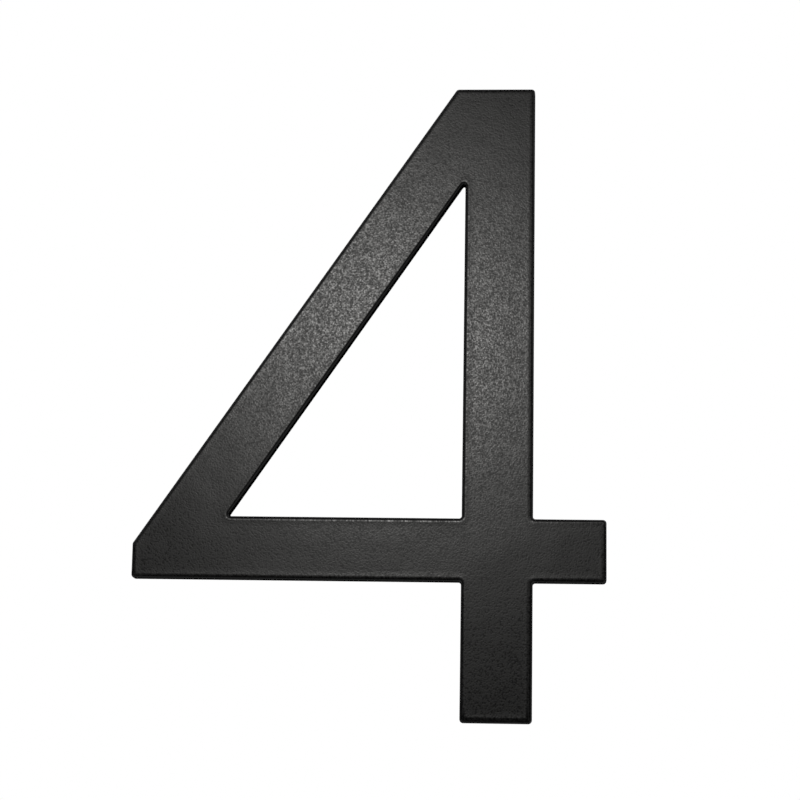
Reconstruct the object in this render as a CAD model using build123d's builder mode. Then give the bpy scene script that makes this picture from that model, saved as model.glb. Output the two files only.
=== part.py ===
"""A stick-on mailbox number: the numeral 4 as a thin die-cast plate on a foam adhesive pad.

The numeral stands upright as it does on a mailbox, +Z up, and faces -Y. The rear adhesive face
lies in the plane Y = 0, and the origin is on it where the middle of the stem crosses the middle
of the crossbar. All sizes are in millimetres.
"""

from build123d import *
from math import hypot, radians, tan
import os

# Outline of the numeral, measured at the back of the plate
numeral_height = 76.2        # foot of the stem to the top, a nominal three inches
stem_width = 8.4
crossbar_height = 7.5
diagonal_width = 7.5         # square across the slanted stroke
foot_depth = 20.0            # middle of the crossbar down to the foot of the stem
left_reach = 43.05           # middle of the stem to the left tip of the crossbar
right_reach = 12.8           # middle of the stem to the right end of the crossbar
top_flat = 9.5               # level top edge, from the right side of the stem to the diagonal
tip_height = 4.15            # upright edge at the left tip

# Section of the plate
plate_thickness = 1.5
draft_angle = 2.0            # lets the casting leave its mould, narrower at the front
front_edge_radius = 0.35
back_edge_break = 0.12
corner_margin = 0.05         # what the outer corners are rounder than the front edge
inside_corner_radius = 0.3   # square corners between the strokes
acute_corner_radius = 0.18   # the two sharp corners of the counter

# Foam adhesive pad
pad_thickness = 0.8
pad_inset = 0.8              # keeps the foam out of sight behind the plate's edge
pad_corner_radius = 0.4

# The outer corners stay a little rounder than the front edge after the draft has drawn them in
draft_run = plate_thickness * tan(radians(draft_angle))
outer_corner_radius = front_edge_radius + draft_run + corner_margin

# Lines that the strokes keep to, with x across and z up
stem_left = -stem_width / 2
stem_right = stem_width / 2
bar_bottom = -crossbar_height / 2
bar_top = crossbar_height / 2
foot_line = -foot_depth
top_line = numeral_height - foot_depth
diagonal_start = stem_right - top_flat
tip_top = bar_bottom + tip_height

# The slanted stroke runs from the top of the left tip to the left end of the top edge
diagonal_run = diagonal_start + left_reach
diagonal_rise = top_line - tip_top
diagonal_across = diagonal_width * hypot(diagonal_run, diagonal_rise) / diagonal_rise


def under_diagonal_x(z):
    """Where the lower side of the slanted stroke is at the height z."""
    return diagonal_start + diagonal_across + (z - top_line) * diagonal_run / diagonal_rise


def under_diagonal_z(x):
    """How high the lower side of the slanted stroke is at the place x."""
    return top_line + (x - diagonal_start - diagonal_across) * diagonal_rise / diagonal_run


# Corners that stick out, in order round the outline, and those that cut in
tip_bottom_corner = (-left_reach, bar_bottom)
tip_top_corner = (-left_reach, tip_top)
top_left_corner = (diagonal_start, top_line)
top_right_corner = (stem_right, top_line)
bar_end_top_corner = (right_reach, bar_top)
bar_end_bottom_corner = (right_reach, bar_bottom)
foot_right_corner = (stem_right, foot_line)
foot_left_corner = (stem_left, foot_line)

above_bar_corner = (stem_right, bar_top)
below_bar_right_corner = (stem_right, bar_bottom)
below_bar_left_corner = (stem_left, bar_bottom)

# Corners of the counter, the triangle that the strokes close in
counter_square_corner = (stem_left, bar_top)
counter_toe_corner = (under_diagonal_x(bar_top), bar_top)
counter_apex_corner = (stem_left, under_diagonal_z(stem_left))

outer_corners = [
    tip_bottom_corner, tip_top_corner, top_left_corner, top_right_corner,
    bar_end_top_corner, bar_end_bottom_corner, foot_right_corner, foot_left_corner,
]
inside_corners = [
    above_bar_corner, below_bar_right_corner, below_bar_left_corner, counter_square_corner,
]
acute_corners = [counter_toe_corner, counter_apex_corner]

# The strokes with sharp corners, which the plate and the pad both start from
with BuildSketch() as strokes:
    with BuildLine():
        Polyline(
            tip_bottom_corner, tip_top_corner, top_left_corner, top_right_corner,
            above_bar_corner, bar_end_top_corner, bar_end_bottom_corner,
            below_bar_right_corner, foot_right_corner, foot_left_corner,
            below_bar_left_corner, close=True,
        )
    make_face()
    with BuildLine():
        Polyline(counter_square_corner, counter_toe_corner, counter_apex_corner, close=True)
    make_face(mode=Mode.SUBTRACT)


def vertices_at(sketch, corners):
    """The vertex of the sketch that lies at each of the corners."""
    return [sketch.vertices().sort_by_distance(corner)[0] for corner in corners]


# Plate: a solid casting with a flat back, drafted sides and a rounded front edge
plate_back = Plane.XZ.offset(pad_thickness)

with BuildPart() as numeral:
    with BuildSketch(plate_back) as plate_outline:
        add(strokes.sketch_local)
        fillet(vertices_at(plate_outline, outer_corners), radius=outer_corner_radius)
        fillet(vertices_at(plate_outline, inside_corners), radius=inside_corner_radius)
        fillet(vertices_at(plate_outline, acute_corners), radius=acute_corner_radius)
    extrude(amount=plate_thickness)
    side_walls = numeral.faces().filter_by(Axis.Y, reverse=True)
    draft(side_walls, neutral_plane=plate_back, angle=draft_angle)
    front_face = numeral.faces().filter_by(Axis.Y).sort_by(Axis.Y)[0]
    fillet(front_face.edges(), radius=front_edge_radius)
    back_face = numeral.faces().filter_by(Axis.Y).sort_by(Axis.Y)[-1]
    fillet(back_face.edges(), radius=back_edge_break)

# Pad: double-sided foam tape die-cut to the same strokes, set in from the plate's edge
with BuildPart() as adhesive_pad:
    with BuildSketch(Plane.XZ) as pad_outline:
        add(strokes.sketch_local)
        offset(amount=-pad_inset, kind=Kind.INTERSECTION, mode=Mode.REPLACE)
        fillet(pad_outline.vertices(), radius=pad_corner_radius)
    extrude(amount=pad_thickness)

# One STEP file for each piece
os.makedirs("parts", exist_ok=True)
numeral.part.label = "numeral"
adhesive_pad.part.label = "adhesive_pad"
export_step(numeral.part, "parts/numeral.step")
export_step(adhesive_pad.part, "parts/adhesive_pad.step")
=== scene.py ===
"""The looks of a stick-on mailbox number 4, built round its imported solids, in metres."""

from math import cos, hypot, pi, radians, sin, tan

import bmesh
import bpy
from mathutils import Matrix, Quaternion, Vector


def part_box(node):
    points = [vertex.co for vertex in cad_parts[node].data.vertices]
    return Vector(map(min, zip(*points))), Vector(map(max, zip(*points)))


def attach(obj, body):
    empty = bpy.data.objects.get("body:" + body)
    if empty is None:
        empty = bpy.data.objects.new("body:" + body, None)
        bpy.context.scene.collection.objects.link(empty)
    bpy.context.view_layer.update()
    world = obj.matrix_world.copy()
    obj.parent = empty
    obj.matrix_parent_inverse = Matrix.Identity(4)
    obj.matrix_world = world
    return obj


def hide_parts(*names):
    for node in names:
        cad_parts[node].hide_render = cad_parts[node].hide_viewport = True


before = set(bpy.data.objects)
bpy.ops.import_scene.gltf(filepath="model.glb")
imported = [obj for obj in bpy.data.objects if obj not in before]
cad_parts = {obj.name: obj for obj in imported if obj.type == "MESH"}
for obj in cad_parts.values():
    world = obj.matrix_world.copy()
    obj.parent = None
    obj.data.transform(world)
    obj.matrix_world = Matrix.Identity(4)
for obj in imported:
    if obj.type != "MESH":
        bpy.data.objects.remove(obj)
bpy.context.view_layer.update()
scene = bpy.context.scene
mm = 0.001


# Camera: a long lens in front of the numeral, below the middle of it and a little to its right,
# so that the strokes widen slightly towards the foot and show their right and lower sides.
camera_lens = 90.0
camera_distance = 237.14 * mm
camera_azimuth = 3.40
camera_elevation = -9.74
camera_roll = 0.97
camera_clip = 10 * mm
camera_aim = Vector((-11.63 * mm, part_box("numeral")[0].y, 17.71 * mm))


def towards(azimuth, elevation):
    """The way out from the numeral: azimuth 0 is straight in front of it, and 90 to its right."""
    return Vector((
        sin(radians(azimuth)) * cos(radians(elevation)),
        -cos(radians(azimuth)) * cos(radians(elevation)),
        sin(radians(elevation)),
    ))


camera_data = bpy.data.cameras.new("camera")
camera_data.lens = camera_lens
camera_data.clip_start = camera_clip
camera = bpy.data.objects.new("camera", camera_data)
scene.collection.objects.link(camera)
camera_side = towards(camera_azimuth, camera_elevation)
camera.location = camera_aim + camera_side * camera_distance
camera.rotation_mode = "QUATERNION"
level_view = (-camera_side).to_track_quat("-Z", "Y")
camera.rotation_quaternion = level_view @ Quaternion((0, 0, 1), radians(camera_roll))
scene.camera = camera


# Numeral plate: one zinc die casting with drafted sides and a small rounded front edge. Its powder
# coat drew back from the edges of the front as it cured and left a faint bead along them. It hung
# upright then, so that the soft coat sagged and the bead is highest along the foot.
plate_low, plate_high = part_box("numeral")
stem_left, stem_right = -4.196 * mm, 4.196 * mm
bar_bottom, bar_top = -3.746 * mm, 3.746 * mm
diagonal_width = 7.492 * mm
top_flat = 9.5 * mm                 # level top edge, from the stem's right side to the diagonal
tip_height = 4.15 * mm              # upright edge at the left tip
seam_height = 20 * mm               # a level cut here keeps each half of a sheet free of holes

draft_angle = radians(2)
front_edge_radius = 0.35 * mm
back_edge_break = 0.12 * mm
outer_corner_radius = 0.45 * mm
inside_corner_radius = 0.3 * mm
acute_corner_radius = 0.18 * mm
corner_segments = 8
front_edge_segments = 8
back_edge_segments = 3
back_ring = 0.3 * mm                # flat ring inside the broken edge, which keeps its shading apart
smooth_angle = radians(35)

near = 0.01 * mm                    # how close to its place a corner or a half's faces are looked for
same_level = 0.001 * mm             # and how close to each other two places are level
same_point = 0.0005 * mm            # two points closer than this become one

# Each bead: from the outline in to its crest, how far the crest stands out from the face, and how
# far the coat drops below the face on its other side, at the rounded edge
plain_bead = (0.50 * mm, 0.008 * mm, 0)
bar_bead = (0.56 * mm, 0.010 * mm, 0.002 * mm)
right_bead = (0.75 * mm, 0.001 * mm, 0.012 * mm)
foot_bead = (0.66 * mm, 0.018 * mm, 0.022 * mm)
crest_to_face = 0.75 * mm
bead_rings = 12
bead_fade = 1.2 * mm                # over which one bead turns into another past the end of an edge
side_fade = 2.0 * mm                # and how far up the sides of the stroke it does so

# The slanted stroke runs from the top of the left tip to the left end of the top edge
top_left_corner = Vector((stem_right - top_flat, 0, plate_high.z))
lean = (top_left_corner - Vector((plate_low.x, 0, bar_bottom + tip_height))).normalized()
square_to_lean = Vector((lean.z, 0, -lean.x))


def deselect_all():
    """Leaves edit mode if it is on, and nothing selected."""
    if bpy.context.mode != "OBJECT":
        bpy.ops.object.mode_set(mode="OBJECT")
    bpy.ops.object.select_all(action="DESELECT")


def select_where(kind, test):
    """In edit mode, selects the vertices, edges or faces that pass the test, given their middle."""
    bpy.ops.mesh.select_mode(type={"verts": "VERT", "edges": "EDGE", "faces": "FACE"}[kind])
    bpy.ops.mesh.select_all(action="DESELECT")
    mesh = bmesh.from_edit_mesh(bpy.context.edit_object.data)
    for element in getattr(mesh, kind):
        if kind == "verts":
            middle = element.co
        elif kind == "edges":
            middle = (element.verts[0].co + element.verts[1].co) / 2
        else:
            middle = element.calc_center_median()
        element.select_set(test(middle, element))
    mesh.select_flush_mode()
    bmesh.update_edit_mesh(bpy.context.edit_object.data)


def slanted_x(point, z):
    """Where a line through the point, leaning as the slanted stroke does, is at the height z."""
    return point.x + (z - point.z) * lean.x / lean.z


def slanted_z(point, x):
    """How high a line through the point, leaning as the slanted stroke does, is at x."""
    return point.z + (x - point.x) * lean.z / lean.x


def round_corner(x, z, radius):
    """Rounds the sheet's corner at x and z by an arc that touches both of its edges."""
    select_where("verts", lambda middle, vertex: hypot(middle.x - x, middle.z - z) < near)
    mesh = bmesh.from_edit_mesh(bpy.context.edit_object.data)
    corner = next(vertex for vertex in mesh.verts if vertex.select)
    sides = [edge.other_vert(corner).co - corner.co for edge in corner.link_edges]
    touch = radius / tan(sides[0].angle(sides[1]) / 2)
    bpy.ops.mesh.bevel(
        offset=touch, segments=corner_segments, profile=0.5, affect="VERTICES",
        clamp_overlap=False,
    )


def numeral_sheet(name, y, margin, outer_radius, inside_radius, acute_radius):
    """A sheet in the numeral's outline, drawn in by the margin, facing -Y and in edit mode."""
    left, right = plate_low.x + margin, plate_high.x - margin
    foot, top = plate_low.z + margin, plate_high.z - margin
    stem_low_x, stem_high_x = stem_left + margin, stem_right - margin
    bar_low_z, bar_high_z = bar_bottom + margin, bar_top - margin
    outer_point = top_left_corner + square_to_lean * margin
    inner_point = top_left_corner + square_to_lean * (diagonal_width - margin)

    def outside_strokes(middle, face):
        in_stem = stem_low_x < middle.x < stem_high_x
        in_bar = bar_low_z < middle.z < bar_high_z
        under_outer = (middle - outer_point).dot(square_to_lean) > 0
        over_inner = (middle - inner_point).dot(square_to_lean) < 0
        left_of_stem = middle.x < stem_low_x and middle.z > bar_low_z
        return not (in_stem or in_bar and under_outer or left_of_stem and under_outer and over_inner)

    deselect_all()
    bpy.ops.mesh.primitive_plane_add(
        size=1, location=((left + right) / 2, y, (foot + top) / 2), rotation=(pi / 2, 0, 0))
    sheet = bpy.context.object
    sheet.name = name
    sheet.scale = (right - left, top - foot, 1)
    bpy.ops.object.transform_apply(location=True, rotation=True, scale=True)
    bpy.ops.object.mode_set(mode="EDIT")
    for place, normal in (
        ((stem_low_x, 0, 0), (1, 0, 0)), ((stem_high_x, 0, 0), (1, 0, 0)),
        ((0, 0, bar_low_z), (0, 0, 1)), ((0, 0, bar_high_z), (0, 0, 1)),
        (outer_point, square_to_lean), (inner_point, square_to_lean),
        ((0, 0, seam_height), (0, 0, 1)),
    ):
        bpy.ops.mesh.select_all(action="SELECT")
        bpy.ops.mesh.bisect(plane_co=place, plane_no=normal)
    select_where("faces", outside_strokes)
    bpy.ops.mesh.delete(type="FACE")
    select_where("edges", lambda middle, edge: all(
        abs(vertex.co.z - seam_height) < same_level for vertex in edge.verts))
    bpy.ops.mesh.mark_seam()
    bpy.ops.mesh.select_all(action="SELECT")
    bpy.ops.mesh.dissolve_limited(angle_limit=radians(1), delimit={"SEAM"})

    for x, z in (
        (left, bar_low_z), (left, slanted_z(outer_point, left)),
        (slanted_x(outer_point, top), top), (stem_high_x, top), (right, bar_high_z),
        (right, bar_low_z), (stem_high_x, foot), (stem_low_x, foot),
    ):
        round_corner(x, z, outer_radius)
    for x, z in (
        (stem_high_x, bar_high_z), (stem_high_x, bar_low_z), (stem_low_x, bar_low_z),
        (stem_low_x, bar_high_z),
    ):
        round_corner(x, z, inside_radius)
    round_corner(slanted_x(inner_point, bar_high_z), bar_high_z, acute_radius)
    round_corner(stem_low_x, slanted_z(inner_point, stem_low_x), acute_radius)
    return sheet


def step_inwards(steps):
    """Insets the selected faces by the first number of each step, and raises them by the other."""
    for inset, rise in steps:
        bpy.ops.mesh.inset(thickness=inset, depth=rise, use_even_offset=True)


def quarter_round(radius, segments):
    """The steps that turn a wall over into a flat face."""
    turns = [pi / 2 * turn / segments for turn in range(segments + 1)]
    return [
        (radius * (cos(low) - cos(high)), radius * (sin(high) - sin(low)))
        for low, high in zip(turns, turns[1:])
    ]


def finish_mesh(piece):
    """Closes the seams of a mesh in edit mode, turns its faces outwards and smooths them."""
    bpy.ops.mesh.select_mode(type="VERT")
    bpy.ops.mesh.select_all(action="SELECT")
    bpy.ops.mesh.remove_doubles(threshold=same_point)
    bpy.ops.mesh.normals_make_consistent(inside=False)
    bpy.ops.mesh.mark_seam(clear=True)
    deselect_all()
    piece.select_set(True)
    bpy.context.view_layer.objects.active = piece
    bpy.ops.object.shade_smooth_by_angle(angle=smooth_angle)
    deselect_all()


# Both halves start from the widest line of the casting, where the halves of the mould met
widest_y = plate_high.y - back_edge_break
plate = numeral_sheet(
    "numeral_plate", widest_y, 0, outer_corner_radius, inside_corner_radius, acute_corner_radius)
bpy.ops.mesh.select_mode(type="FACE")
bpy.ops.mesh.select_all(action="SELECT")
bpy.ops.mesh.duplicate()
bpy.ops.mesh.flip_normals()
step_inwards(quarter_round(back_edge_break, back_edge_segments) + [(back_ring, 0)])

# Front half: drafted wall, rounded edge, and a flat shoulder in which the arcs of the outer corners
# all but close and are merged. The face lies as much deeper as the highest bead stands out.
tallest, deepest = foot_bead[1:]
wall_height = plate_high.y - plate_low.y - back_edge_break - front_edge_radius - tallest
wall_draft = wall_height * tan(draft_angle)
closed_arc_width = 0.09 * mm        # what is left of such an arc inside the shoulder
shoulder = outer_corner_radius - wall_draft - front_edge_radius - closed_arc_width / 4
face_y = plate_low.y + tallest
deepest_inset = foot_bead[0] + crest_to_face
plate.vertex_groups.new(name="insets")


def step_in_from(inset, steps):
    """Steps inwards from this inset, keeps how far in each ring is, and gives the last inset."""
    for step in steps:
        step_inwards([step])
        inset += step[0]
        bpy.context.scene.tool_settings.vertex_group_weight = inset / deepest_inset
        bpy.ops.object.vertex_group_assign()
    return inset


select_where("faces", lambda middle, face: (
    face.normal.y < 0 and abs(middle.y - widest_y) < near))
reached = step_in_from(0, [(wall_draft, wall_height)])
rounded = step_in_from(reached, quarter_round(front_edge_radius, front_edge_segments))
reached = step_in_from(rounded, [(shoulder, 0)])
bpy.ops.mesh.remove_doubles(threshold=closed_arc_width)
select_where("faces", lambda middle, face: (
    len(face.verts) > corner_segments and middle.y < face_y + same_level))
step_in_from(reached, [((deepest_inset - reached) / bead_rings, 0)] * bead_rings)
for fade_height in (plate_low.z + side_fade, bar_bottom + side_fade):
    bpy.ops.mesh.select_all(action="SELECT")
    bpy.ops.mesh.bisect(plane_co=(0, 0, fade_height), plane_no=(0, 0, 1))
finish_mesh(plate)

# Edges with a bead of their own: where each starts, its direction, which way it faces, its length
right, up, down = Vector((1, 0, 0)), Vector((0, 0, 1)), Vector((0, 0, -1))
stem_foot = Vector((stem_left, 0, plate_low.z))
stem_foot_right = Vector((stem_right, 0, plate_low.z))
bar_left = Vector((plate_low.x, 0, bar_bottom))
bar_from_stem = Vector((stem_right, 0, bar_bottom))
bar_right = Vector((plate_high.x, 0, bar_bottom))
stem_over_bar = Vector((stem_right, 0, bar_top))
beaded_edges = [
    (stem_foot, right, down, stem_right - stem_left, foot_bead),
    (bar_left, right, down, stem_left - plate_low.x, bar_bead),
    (bar_from_stem, right, down, plate_high.x - stem_right, bar_bead),
    (stem_foot_right, up, right, bar_bottom - plate_low.z, right_bead),
    (bar_right, up, right, bar_top - bar_bottom, right_bead),
    (stem_over_bar, up, right, plate_high.z - bar_top, right_bead),
]


def smooth_step(value):
    """From 0 to 1 as the value does, with no kink at either end."""
    share = min(max(value, 0), 1)
    return share * share * (3 - 2 * share)


def level_of(bead, inset):
    """How far the coat stands out from the face, this far in from the outline."""
    crest, height, drop = bead
    if inset < rounded:
        return -drop * (inset / rounded) ** 2
    if inset < crest:
        return (drop + height) * sin(pi / 2 * (inset - rounded) / (crest - rounded)) - drop
    return height * max(1 - (inset - crest) / crest_to_face, 0) ** 2


def level_at(point, inset):
    """The level of the coat at the point, between a plain bead's and those of the edges near it."""
    nearest_share, nearest_bead = 0, plain_bead
    for start, along, outward, length, bead in beaded_edges:
        if -same_level < (start - point).dot(outward) < deepest_inset + same_level:
            place = (point - start).dot(along)
            share = smooth_step(1 + place / bead_fade) * smooth_step(1 + (length - place) / bead_fade)
            if share > nearest_share:
                nearest_share, nearest_bead = share, bead
    plain_level = level_of(plain_bead, inset)
    return plain_level + nearest_share * (level_of(nearest_bead, inset) - plain_level)


# The beads: the rings' points move out from the face where the coat is higher, and in where lower
raised = plate.vertex_groups.new(name="raised")
lowered = plate.vertex_groups.new(name="lowered")
insets_index = plate.vertex_groups["insets"].index
for vertex in plate.data.vertices:
    for membership in [known for known in vertex.groups if known.group == insets_index]:
        point = Vector((vertex.co.x, 0, vertex.co.z))
        level = level_at(point, membership.weight * deepest_inset)
        raised.add([vertex.index], max(level, 0) / tallest, "REPLACE")
        lowered.add([vertex.index], max(-level, 0) / deepest, "REPLACE")
plate.select_set(True)
bpy.context.view_layer.objects.active = plate
for name, strength in (("raised", -tallest), ("lowered", deepest)):
    shift = plate.modifiers.new(name, "DISPLACE")
    shift.direction = "Y"
    shift.strength = strength
    shift.mid_level = 0
    shift.vertex_group = name
    bpy.ops.object.modifier_apply(modifier=shift.name)
plate.vertex_groups.clear()
deselect_all()


def noise(tree, coordinates, scale, detail):
    """A noise texture on the given coordinates. Its scale is in patches a metre."""
    node = tree.nodes.new("ShaderNodeTexNoise")
    node.inputs["Scale"].default_value = scale
    node.inputs["Detail"].default_value = detail
    tree.links.new(coordinates, node.inputs["Vector"])
    return node.outputs["Fac"]


def spread(tree, value, from_low, from_high, to_low, to_high):
    """Carries a range of the value over to another range, and keeps it inside that one."""
    node = tree.nodes.new("ShaderNodeMapRange")
    node.inputs["From Min"].default_value = from_low
    node.inputs["From Max"].default_value = from_high
    node.inputs["To Min"].default_value = to_low
    node.inputs["To Max"].default_value = to_high
    tree.links.new(value, node.inputs["Value"])
    return node.outputs["Result"]


def two_colours(tree, share, first, second):
    """The first colour where the share is 0, turning to the second where it is 1."""
    node = tree.nodes.new("ShaderNodeMix")
    node.data_type = "RGBA"
    node.inputs["A"].default_value = (*first, 1)
    node.inputs["B"].default_value = (*second, 1)
    tree.links.new(share, node.inputs["Factor"])
    return node.outputs["Result"]


def bump(tree, height, depth, over=None):
    """Raises the surface by the height times the depth, on top of another bump if one is given."""
    node = tree.nodes.new("ShaderNodeBump")
    node.inputs["Strength"].default_value = 1
    node.inputs["Distance"].default_value = depth
    tree.links.new(height, node.inputs["Height"])
    if over is not None:
        tree.links.new(over, node.inputs["Normal"])
    return node.outputs["Normal"]


def new_material(name):
    """A material with only the Principled shader, with its tree and its Object coordinates."""
    material = bpy.data.materials.new(name)
    material.use_nodes = True
    tree = material.node_tree
    place = tree.nodes.new("ShaderNodeTexCoord")
    return material, tree, tree.nodes["Principled BSDF"], place


def powder_coat():
    """Fine-textured black powder coat: a hard, faintly wavy skin with a close, even grain."""
    grain_scale = 5476              # the face lies half-way between two layers of this noise
    grain_depth = 0.0055 * mm
    glossiest, roughest = 0.20, 0.38
    wave_scale = 200
    wave_depth = 0.025 * mm
    cloud_scale = 90
    deep_black = (0.0010, 0.0010, 0.0011)
    soft_black = (0.0018, 0.0017, 0.0018)
    material, tree, shader, place = new_material("powder_coated_black")
    grain = noise(tree, place.outputs["Object"], grain_scale, detail=0.5)
    waves = noise(tree, place.outputs["Object"], wave_scale, detail=1)
    clouds = noise(tree, place.outputs["Object"], cloud_scale, detail=3)
    cloudy = spread(tree, clouds, 0.35, 0.65, 0, 1)
    colour = two_colours(tree, cloudy, deep_black, soft_black)
    tree.links.new(colour, shader.inputs["Base Color"])
    roughness = spread(tree, grain, 0.25, 0.75, glossiest, roughest)
    tree.links.new(roughness, shader.inputs["Roughness"])
    wavy = bump(tree, waves, wave_depth)
    tree.links.new(bump(tree, grain, grain_depth, over=wavy), shader.inputs["Normal"])
    return material


plate.data.materials.append(powder_coat())
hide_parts("numeral")
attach(plate, "root")


# Adhesive pad: dark grey closed-cell foam tape with an adhesive skin on each side, die-cut to the
# numeral's strokes and pressed on to the back of the plate, a little inside its edge.
pad_low, pad_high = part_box("adhesive_pad")
pad_inset = pad_low.x - plate_low.x
pad_corner_radius = 0.4 * mm
pad_levels = 8                      # loops through the thickness of the foam
core_draw_in = 0.05 * mm            # the foam between the skins springs back from the cut
cut_rim_radius = 0.06 * mm          # the die pressed down the rim on the side it came from
cut_rim_segments = 3
sharp_rim = 1                       # radians between the rim's two faces before it is rounded

pad = numeral_sheet(
    "foam_pad", pad_low.y, pad_inset, pad_corner_radius, pad_corner_radius, pad_corner_radius)
pad_thickness = pad_high.y - pad_low.y
bpy.ops.mesh.select_mode(type="FACE")
bpy.ops.mesh.select_all(action="SELECT")
bpy.ops.mesh.extrude_region_move(TRANSFORM_OT_translate={"value": (0, pad_thickness, 0)})
select_where("edges", lambda middle, edge: abs(
    edge.verts[0].co.y - edge.verts[1].co.y) > pad_thickness / 2)
bpy.ops.mesh.subdivide(number_cuts=pad_levels - 1)
for level in range(1, pad_levels):
    level_y = pad_low.y + pad_thickness * level / pad_levels
    select_where("verts", lambda middle, vertex: abs(middle.y - level_y) < same_level)
    bpy.ops.transform.shrink_fatten(value=core_draw_in * sin(pi * level / pad_levels))
    bpy.ops.transform.resize(value=(1, 0, 1), center_override=(0, level_y, 0))
select_where("edges", lambda middle, edge: (
    middle.y > pad_high.y - same_level and edge.calc_face_angle(0) > sharp_rim))
bpy.ops.mesh.bevel(
    offset=cut_rim_radius, segments=cut_rim_segments, profile=0.5, affect="EDGES")
finish_mesh(pad)


def foam_tape():
    """Acrylic foam tape: a tacky satin skin over fine bubbles, and open bubbles where it is cut."""
    bubble_scale = 5500
    bubble_depth = 0.02 * mm
    cloud_scale = 300
    dark_grey = (0.05, 0.05, 0.052)
    pale_grey = (0.09, 0.09, 0.093)
    cut_roughness, skin_roughness = 0.85, 0.38
    material, tree, shader, place = new_material("foam_tape_grey")
    bubbles = tree.nodes.new("ShaderNodeTexVoronoi")
    bubbles.inputs["Scale"].default_value = bubble_scale
    tree.links.new(place.outputs["Object"], bubbles.inputs["Vector"])
    clouds = noise(tree, place.outputs["Object"], cloud_scale, detail=4)
    facing = tree.nodes.new("ShaderNodeSeparateXYZ")
    tree.links.new(place.outputs["Normal"], facing.inputs["Vector"])
    flatness = tree.nodes.new("ShaderNodeMath")
    flatness.operation = "ABSOLUTE"
    tree.links.new(facing.outputs["Y"], flatness.inputs[0])
    tree.links.new(two_colours(tree, clouds, dark_grey, pale_grey), shader.inputs["Base Color"])
    roughness = spread(
        tree, flatness.outputs["Value"], 0.6, 0.8, cut_roughness, skin_roughness)
    tree.links.new(roughness, shader.inputs["Roughness"])
    bubbly = bump(tree, bubbles.outputs["Distance"], bubble_depth)
    tree.links.new(bubbly, shader.inputs["Normal"])
    return material


pad.data.materials.append(foam_tape())
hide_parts("adhesive_pad")
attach(pad, "root")


# Light: one small soft lamp just above and left of the camera gives the sheen on the coat. Dull
# surfaces get even light from all round. In the coat's reflections the room is dark but for some
# pale panels and a ring, because the real plate's edges are near black.
key_azimuth = -4.09
key_elevation = 11.3
key_distance = 700 * mm
key_diameter = 80 * mm
key_power = 0.51
key_colour = (1, 0.99, 0.965)
key_aim = Vector((-8 * mm, plate_low.y, 27 * mm))
ambient_strength = 0.8
background_strength = 1.0

key_data = bpy.data.lights.new("key_lamp", "AREA")
key_data.shape = "DISK"
key_data.size = key_diameter
key_data.energy = key_power
key_data.color = key_colour
key_lamp = bpy.data.objects.new("key_lamp", key_data)
scene.collection.objects.link(key_lamp)
key_side = towards(key_azimuth, key_elevation)
key_lamp.location = key_aim + key_side * key_distance
key_lamp.rotation_mode = "QUATERNION"
key_lamp.rotation_quaternion = (-key_side).to_track_quat("-Z", "Y")
key_lamp.visible_camera = False

world = bpy.data.worlds.new("studio")
world.use_nodes = True
world.cycles.sampling_method = "NONE"
scene.world = world
tree = world.node_tree
tree.nodes.clear()
rays = tree.nodes.new("ShaderNodeLightPath")

# How bright the room is in reflections, from straight in front of the numeral (0) round to straight
# behind it (1): four panels at the corners in front, and a ring at its sides, over and under it
corner_panels = [(0.08, 0.0), (0.18, 0.45), (0.32, 0.45), (0.42, 0.0)]
side_ring = [(0.38, 0.0), (0.46, 0.35), (0.64, 0.35), (0.80, 0.0)]
panel_rim = (0.006, 0.05)           # over which a panel comes up, in squares of x times z


def room_light(strength):
    """White light of one strength from all round."""
    node = tree.nodes.new("ShaderNodeBackground")
    node.inputs["Color"].default_value = (1, 1, 1, 1)
    node.inputs["Strength"].default_value = strength
    return node


def choose(share, first, second):
    """The first light where the share is 0, and the second where it is 1."""
    node = tree.nodes.new("ShaderNodeMixShader")
    tree.links.new(share, node.inputs[0])
    tree.links.new(first.outputs[0], node.inputs[1])
    tree.links.new(second.outputs[0], node.inputs[2])
    return node


def combine(operation, first, second):
    """Two values added or multiplied, or the larger of the two."""
    node = tree.nodes.new("ShaderNodeMath")
    node.operation = operation
    tree.links.new(first, node.inputs[0])
    tree.links.new(second, node.inputs[1])
    return node.outputs["Value"]


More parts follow.
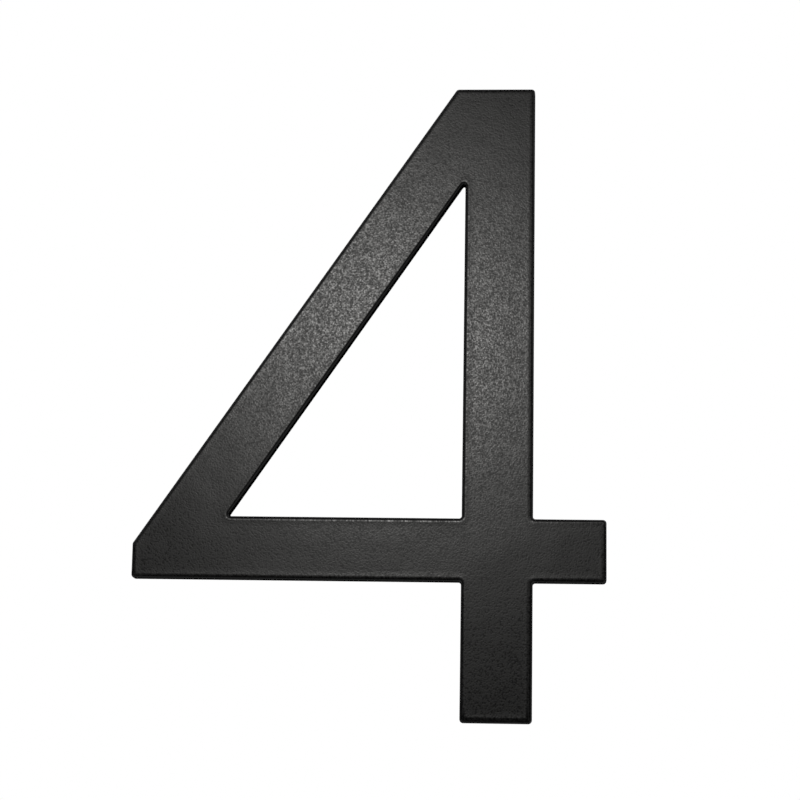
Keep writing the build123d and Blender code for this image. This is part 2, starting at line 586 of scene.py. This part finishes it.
def brightness(place, stops):
    """How bright the room is at this place between straight in front and straight behind."""
    node = tree.nodes.new("ShaderNodeValToRGB")
    tree.links.new(place, node.inputs["Fac"])
    while len(node.color_ramp.elements) < len(stops):
        node.color_ramp.elements.new(1)
    for element, (position, level) in zip(node.color_ramp.elements, stops):
        element.position = position
        element.color = (level, level, level, 1)
    return node.outputs["Color"]


sight = tree.nodes.new("ShaderNodeTexCoord")
direction = tree.nodes.new("ShaderNodeSeparateXYZ")
tree.links.new(sight.outputs["Generated"], direction.inputs["Vector"])
place = spread(tree, direction.outputs["Y"], -1, 1, 0, 1)
slant = combine("MULTIPLY", direction.outputs["X"], direction.outputs["Z"])
slant = combine("MULTIPLY", slant, slant)
corners = spread(tree, slant, *panel_rim, 0, 1)
panels = combine("MULTIPLY", brightness(place, corner_panels), corners)
reflected = room_light(1)
tree.links.new(combine("ADD", panels, brightness(place, side_ring)), reflected.inputs["Strength"])

lit = choose(rays.outputs["Is Glossy Ray"], room_light(ambient_strength), reflected)
seen = combine("MAXIMUM", rays.outputs["Is Camera Ray"], rays.outputs["Is Transmission Ray"])
surroundings = choose(seen, lit, room_light(background_strength))
world_output = tree.nodes.new("ShaderNodeOutputWorld")
tree.links.new(surroundings.outputs[0], world_output.inputs["Surface"])


# Floor: a plain pale disc, far enough down for a camera to look up at the numeral from over it
floor_height = -250 * mm
floor_radius = 1000 * mm
floor_corners = 128
floor_colour = (0.9, 0.9, 0.9, 1)
floor_roughness = 0.8
deselect_all()
bpy.ops.mesh.primitive_circle_add(
    vertices=floor_corners, radius=floor_radius, fill_type="NGON", location=(0, 0, floor_height))
floor = bpy.context.object
floor.name = "floor"
bpy.ops.object.transform_apply(location=True, rotation=True, scale=True)
floor.visible_glossy = False
floor_paint, _, floor_shader, _ = new_material("floor_paint")
floor_shader.inputs["Base Color"].default_value = floor_colour
floor_shader.inputs["Roughness"].default_value = floor_roughness
floor.data.materials.append(floor_paint)
deselect_all()

scene.view_settings.view_transform = "Standard"

bpy.context.view_layer.update()
